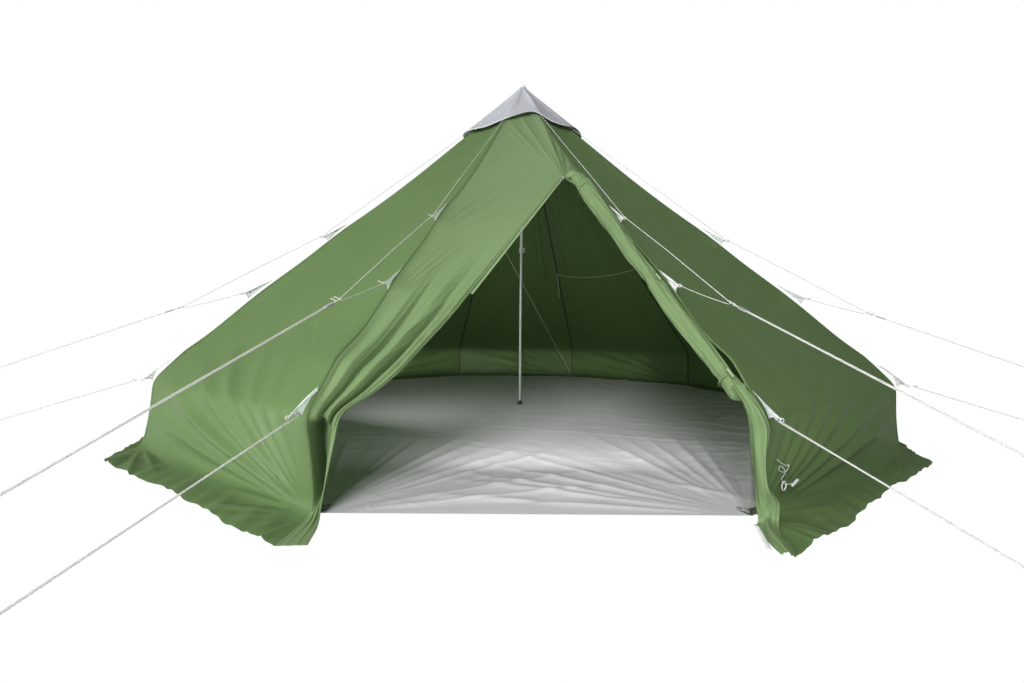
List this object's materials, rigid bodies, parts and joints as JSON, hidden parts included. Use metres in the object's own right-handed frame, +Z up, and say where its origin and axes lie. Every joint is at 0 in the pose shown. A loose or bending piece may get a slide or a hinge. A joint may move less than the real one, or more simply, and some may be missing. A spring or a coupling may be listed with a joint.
{
  "type": "pole tent",
  "caption": "Many-sided tent on one centre pole, with a low wall, snow flaps, vent hat, open door, groundsheet and pegged guylines.",
  "frame": {"origin": "on the ground under the centre pole", "axes": "+Z up along the pole; the door faces -Y; +X is to the right of somebody who looks in through the door"},
  "size_m": [7.317, 8.5994, 3.02],
  "materials": {
    "tent_cloth": "satin ripstop, green",
    "door_cloth": "satin ripstop, light green",
    "hat_cloth": "matt coated cloth, light grey",
    "sheet_cloth": "coated cloth, silver grey",
    "patch_cloth": "woven webbing, white",
    "guy_cord": "braided cord, white",
    "zip_tape": "woven tape with coil",
    "zip_metal": "satin",
    "pole_metal": "anodised",
    "peg_metal": "satin",
    "foot_rubber": "matt",
    "red_plastic": "moulded",
    "black_plastic": "moulded"
  },
  "bodies": {
    "tent": {"roof_panel_1": "tent_cloth", "roof_panel_2": "tent_cloth", "roof_panel_3": "tent_cloth", "roof_panel_4": "tent_cloth", "roof_panel_5": "tent_cloth", "roof_panel_6": "tent_cloth", "roof_panel_7": "tent_cloth", "roof_panel_8": "tent_cloth", "roof_panel_9": "tent_cloth", "wall_panel_1": "tent_cloth", "wall_panel_2": "tent_cloth", "wall_panel_3": "tent_cloth", "wall_panel_4": "tent_cloth", "wall_panel_5": "tent_cloth", "wall_panel_6": "tent_cloth", "wall_panel_7": "tent_cloth", "wall_panel_8": "tent_cloth", "wall_panel_9": "tent_cloth", "snow_flap_1": "tent_cloth", "snow_flap_2": "tent_cloth", "snow_flap_3": "tent_cloth", "snow_flap_4": "tent_cloth", "snow_flap_5": "tent_cloth", "snow_flap_6": "tent_cloth", "snow_flap_7": "tent_cloth", "snow_flap_8": "tent_cloth", "snow_flap_9": "tent_cloth", "door_panel": "door_cloth", "door_roll": "door_cloth", "door_zip": "zip_tape", "door_loops": "guy_cord", "roof_crown": "tent_cloth", "pole_tip": "black_plastic", "pole_upper": "pole_metal", "pole_clamp": "black_plastic", "groundsheet": "sheet_cloth", "floor_clips": "black_plastic", "guy_patches_roof": "patch_cloth", "guy_patches_corner": "patch_cloth", "guylines_upper": "guy_cord", "guylines_lower": "guy_cord", "vent_cord": "guy_cord", "drying_line": "guy_cord", "pegs": "peg_metal"},
    "hat": {"vent_hat": "hat_cloth"},
    "lower_pole": {"pole_lower": "pole_metal", "pole_foot": "foot_rubber"},
    "lever": {"clamp_lever": "red_plastic"},
    "zip": {"zip_slider": "zip_metal"},
    "pull": {"zip_pull": "zip_metal"},
    "toggle_upper": {"door_toggle_upper": "black_plastic"},
    "toggle_lower": {"door_toggle_lower": "black_plastic"},
    "runner_1": {"line_runner_1": "black_plastic"},
    "runner_2": {"line_runner_2": "black_plastic"},
    "runner_3": {"line_runner_3": "black_plastic"},
    "runner_4": {"line_runner_4": "black_plastic"},
    "runner_5": {"line_runner_5": "black_plastic"},
    "runner_6": {"line_runner_6": "black_plastic"},
    "runner_7": {"line_runner_7": "black_plastic"},
    "runner_8": {"line_runner_8": "black_plastic"}
  },
  "joints": [
    {"name": "hat_lift", "type": "slide", "parent": "tent", "child": "hat", "axis": [0, 0, 1], "range_m": [0, 0.12]},
    {"name": "pole_telescope", "type": "slide", "parent": "tent", "child": "lower_pole", "axis": [0, 0, 1], "range_m": [0, 0.85]},
    {"name": "clamp_lever_turn", "type": "hinge", "parent": "tent", "child": "lever", "pos_m": [0.029, 0, 1.475], "axis": [0, 0, -1], "range_deg": [0, 100]},
    {"name": "zip_slide", "type": "slide", "parent": "tent", "child": "zip", "axis": [-0.4001, -0.6636, -0.6322], "range_m": [0, 1.3]},
    {"name": "zip_pull_swing", "type": "hinge", "parent": "zip", "child": "pull", "pos_m": [0.2478, -1.26402, 1.76411], "axis": [-0.9165, 0.2897, 0.2759], "range_deg": [0, 150]},
    {"name": "toggle_upper_turn", "type": "hinge", "parent": "tent", "child": "toggle_upper", "pos_m": [0.6333, -2.13385, 0.99815], "axis": [0, -0.6898, 0.724], "range_deg": [-90, 90]},
    {"name": "toggle_lower_turn", "type": "hinge", "parent": "tent", "child": "toggle_lower", "pos_m": [0.78829, -2.5834, 0.56248], "axis": [0, -0.6898, 0.724], "range_deg": [-90, 90]},
    {"name": "runner_slide_1", "type": "slide", "parent": "tent", "child": "runner_1", "axis": [-0.283, -0.8709, -0.4017], "range_m": [0, 0.6]},
    {"name": "runner_slide_2", "type": "slide", "parent": "tent", "child": "runner_2", "axis": [0.283, -0.8709, -0.4017], "range_m": [0, 0.6]},
    {"name": "runner_slide_3", "type": "slide", "parent": "tent", "child": "runner_3", "axis": [-0.7409, -0.5383, -0.4017], "range_m": [0, 0.6]},
    {"name": "runner_slide_4", "type": "slide", "parent": "tent", "child": "runner_4", "axis": [0.7409, -0.5383, -0.4017], "range_m": [0, 0.6]},
    {"name": "runner_slide_5", "type": "slide", "parent": "tent", "child": "runner_5", "axis": [-0.7409, 0.5383, -0.4017], "range_m": [0, 0.6]},
    {"name": "runner_slide_6", "type": "slide", "parent": "tent", "child": "runner_6", "axis": [0.7409, 0.5383, -0.4017], "range_m": [0, 0.6]},
    {"name": "runner_slide_7", "type": "slide", "parent": "tent", "child": "runner_7", "axis": [-0.283, 0.8709, -0.4017], "range_m": [0, 0.6]},
    {"name": "runner_slide_8", "type": "slide", "parent": "tent", "child": "runner_8", "axis": [0.283, 0.8709, -0.4017], "range_m": [0, 0.6]}
  ]
}
